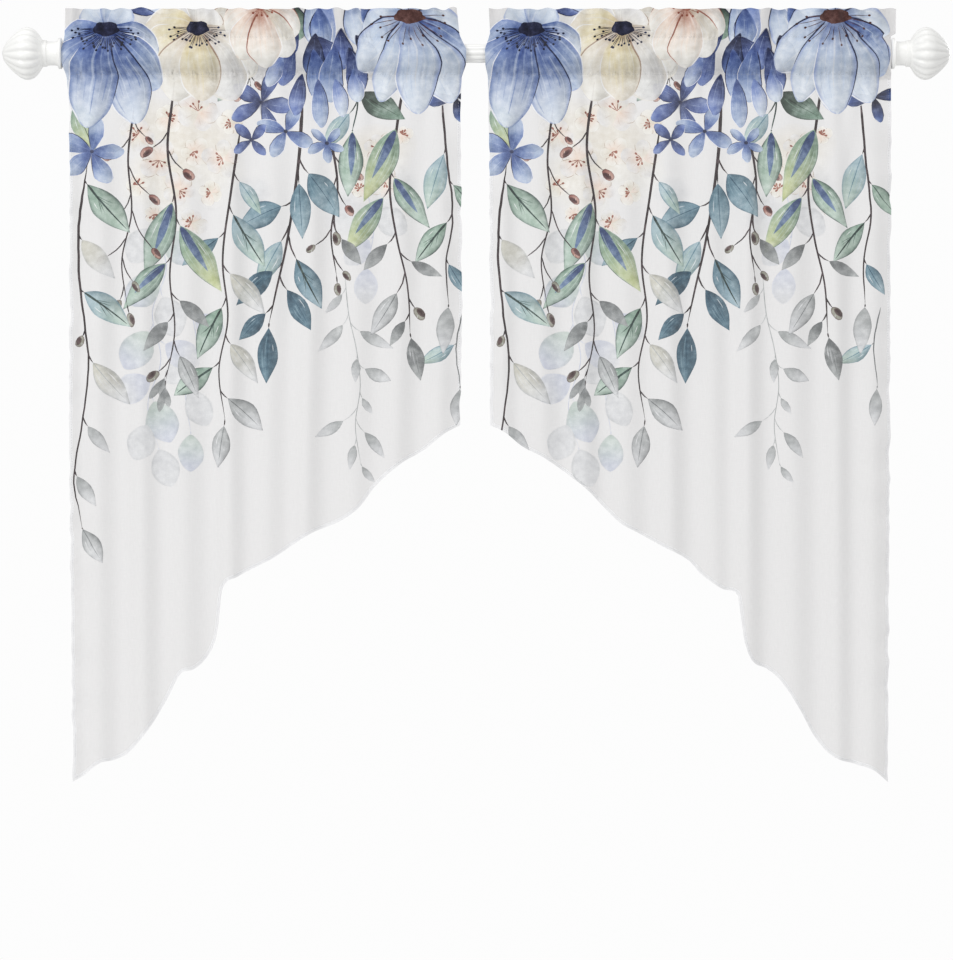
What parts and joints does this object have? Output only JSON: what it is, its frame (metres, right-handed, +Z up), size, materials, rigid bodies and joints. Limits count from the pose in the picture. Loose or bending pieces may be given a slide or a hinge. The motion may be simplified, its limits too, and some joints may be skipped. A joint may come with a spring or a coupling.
{
  "type": "window valance pair on a curtain rod",
  "caption": "Pair of sheer printed swag valance panels with ruffled heading and stepped hem, gathered on a fluted white rod with ball finials",
  "frame": {"origin": "on the rod's axis, halfway along the rod", "axes": "+X along the rod to the right as seen from the room, +Y towards the wall, +Z up"},
  "size_m": [1.1202, 0.0612, 0.9157],
  "materials": {
    "painted_wood": "white satin paint",
    "voile": "sheer white voile with a printed flower border"
  },
  "bodies": {
    "root": {"rod": "painted_wood", "finial_left": "painted_wood", "finial_right": "painted_wood", "panel_left": "voile", "panel_right": "voile"}
  },
  "joints": []
}
